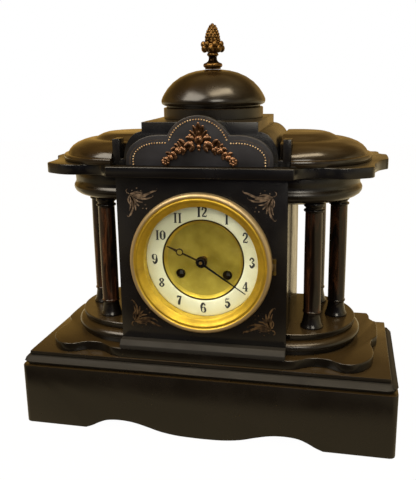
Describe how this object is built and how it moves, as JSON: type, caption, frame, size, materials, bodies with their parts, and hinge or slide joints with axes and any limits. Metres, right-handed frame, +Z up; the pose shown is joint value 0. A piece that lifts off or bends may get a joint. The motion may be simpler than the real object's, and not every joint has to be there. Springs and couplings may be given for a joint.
{
  "type": "mantel_clock",
  "caption": "Black slate mantel clock with half-round colonnades, domed top, gilt bronze mount and finial, hinged glazed dial and a striking movement.",
  "frame": {"origin": "on the resting plane, under the middle of the base block", "axes": "+X to the right seen from the front, +Y to the back, +Z up; the dial faces -Y"},
  "size_m": [0.41, 0.166, 0.4389],
  "materials": {
    "slate": "black slate, polished, with a dull bloom and small chips",
    "marble": "dark red-brown marble with black veins, polished",
    "bronze": "gilt bronze, rubbed and darkened in the hollows",
    "polished_brass": "polished brass, lightly handled",
    "dull_brass": "tarnished brass",
    "glass": "clear glass",
    "enamel": "cream enamel, glossy",
    "blued_steel": "blued steel, near black",
    "clock_brass": "clock brass with a grained face",
    "bell_metal": "bell bronze, turned",
    "steel": "bright steel"
  },
  "bodies": {
    "case": {"base_front_slab": "slate", "base_back_slab": "slate", "base_lid_slab": "slate", "step_slab": "slate", "shaped_plate": "slate", "body_sole": "slate", "front_panel": "slate", "back_panel": "slate", "cornice_slab": "slate", "pediment_block": "slate", "pediment_relief": "slate", "dome_drum": "slate", "dome": "slate", "left_base_side_slab": "slate", "left_side_panel": "slate", "left_foot_disc": "slate", "left_capital_disc": "slate", "left_wing_cap": "slate", "right_base_side_slab": "slate", "right_side_panel": "slate", "right_foot_disc": "slate", "right_capital_disc": "slate", "right_wing_cap": "slate", "left_front_column": "marble", "left_middle_column": "marble", "left_rear_column": "marble", "right_front_column": "marble", "right_middle_column": "marble", "right_rear_column": "marble", "finial": "bronze", "pediment_mount": "bronze", "dial_plate": "polished_brass", "dial_ring": "dull_brass", "rear_ring": "dull_brass", "left_strap": "dull_brass", "right_strap": "dull_brass", "chapter_ring": "enamel", "movement_front_plate": "clock_brass", "movement_back_plate": "clock_brass", "suspension_cock": "clock_brass", "bell": "bell_metal", "bell_stand": "steel"},
    "bezel": {"front_bezel": "polished_brass", "bezel_glass": "glass"},
    "back_door": {"rear_door": "polished_brass"},
    "centre": {"centre_wheel": "clock_brass", "minute_hand": "blued_steel"},
    "hour": {"hour_wheel": "clock_brass", "hour_hand": "blued_steel"},
    "minute": {"minute_wheel": "clock_brass"},
    "intermediate": {"intermediate_wheel": "clock_brass"},
    "going": {"going_barrel": "clock_brass"},
    "third": {"third_wheel": "clock_brass"},
    "escape": {"escape_wheel": "clock_brass"},
    "pallets": {"anchor": "steel"},
    "swinging": {"pendulum": "clock_brass"},
    "strike": {"strike_barrel": "clock_brass"},
    "pins": {"pin_wheel": "clock_brass"},
    "air_brake": {"fly": "clock_brass"},
    "striker": {"hammer": "steel"}
  },
  "joints": [
    {"name": "bezel_hinge", "type": "hinge", "parent": "case", "child": "bezel", "pos_m": [0.0778, -0.0662, 0.1937], "axis": [0, 0, 1], "range_deg": [0, 110]},
    {"name": "back_door_hinge", "type": "hinge", "parent": "case", "child": "back_door", "pos_m": [0.0731, 0.0797, 0.1937], "axis": [0, 0, -1], "range_deg": [0, 105]},
    {"name": "minute_turn", "type": "hinge", "parent": "case", "child": "centre", "pos_m": [0, -0.0309, 0.1937], "axis": [0, 1, 0], "continuous": true},
    {"name": "hour_turn", "type": "hinge", "parent": "case", "child": "hour", "pos_m": [0, -0.0394, 0.1937], "axis": [0, 1, 0], "continuous": true},
    {"name": "minute_wheel_turn", "type": "hinge", "parent": "case", "child": "minute", "pos_m": [0, -0.0374, 0.2129], "axis": [0, 1, 0], "continuous": true},
    {"name": "intermediate_turn", "type": "hinge", "parent": "case", "child": "intermediate", "pos_m": [0.01891, -0.0309, 0.197], "axis": [0, 1, 0], "continuous": true},
    {"name": "going_barrel_turn", "type": "hinge", "parent": "case", "child": "going", "pos_m": [0.02434, -0.0309, 0.17775], "axis": [0, 1, 0], "continuous": true},
    {"name": "third_turn", "type": "hinge", "parent": "case", "child": "third", "pos_m": [-0.01176, -0.0309, 0.20938], "axis": [0, 1, 0], "continuous": true},
    {"name": "escape_turn", "type": "hinge", "parent": "case", "child": "escape", "pos_m": [0, -0.0309, 0.2177], "axis": [0, 1, 0], "continuous": true},
    {"name": "pendulum_swing", "type": "hinge", "parent": "case", "child": "swinging", "pos_m": [0, 0.0196, 0.2333], "axis": [0, 1, 0], "range_deg": [-4.5, 4.5]},
    {"name": "anchor_rock", "type": "hinge", "parent": "case", "child": "pallets", "pos_m": [0, -0.0309, 0.2333], "axis": [0, 1, 0], "range_deg": [-4.5, 4.5]},
    {"name": "strike_barrel_turn", "type": "hinge", "parent": "case", "child": "strike", "pos_m": [-0.02434, -0.0309, 0.17775], "axis": [0, 1, 0], "continuous": true},
    {"name": "pin_wheel_turn", "type": "hinge", "parent": "case", "child": "pins", "pos_m": [-0.0315, -0.0309, 0.19643], "axis": [0, 1, 0], "continuous": true},
    {"name": "fly_turn", "type": "hinge", "parent": "case", "child": "air_brake", "pos_m": [-0.04043, -0.0309, 0.20444], "axis": [0, 1, 0], "continuous": true},
    {"name": "hammer_lift", "type": "hinge", "parent": "case", "child": "striker", "pos_m": [-0.0245, -0.0309, 0.2262], "axis": [0, 1, 0], "range_deg": [0, 12]}
  ],
  "couplings": [
    {"joint": "hour_turn", "follows": "minute_turn", "ratio": 0.083333},
    {"joint": "minute_wheel_turn", "follows": "minute_turn", "ratio": -0.33333},
    {"joint": "intermediate_turn", "follows": "minute_turn", "ratio": -0.2},
    {"joint": "going_barrel_turn", "follows": "minute_turn", "ratio": 0.05},
    {"joint": "third_turn", "follows": "minute_turn", "ratio": -6},
    {"joint": "escape_turn", "follows": "minute_turn", "ratio": 30},
    {"joint": "anchor_rock", "follows": "pendulum_swing", "ratio": 1},
    {"joint": "pin_wheel_turn", "follows": "strike_barrel_turn", "ratio": -4},
    {"joint": "fly_turn", "follows": "strike_barrel_turn", "ratio": 16}
  ]
}
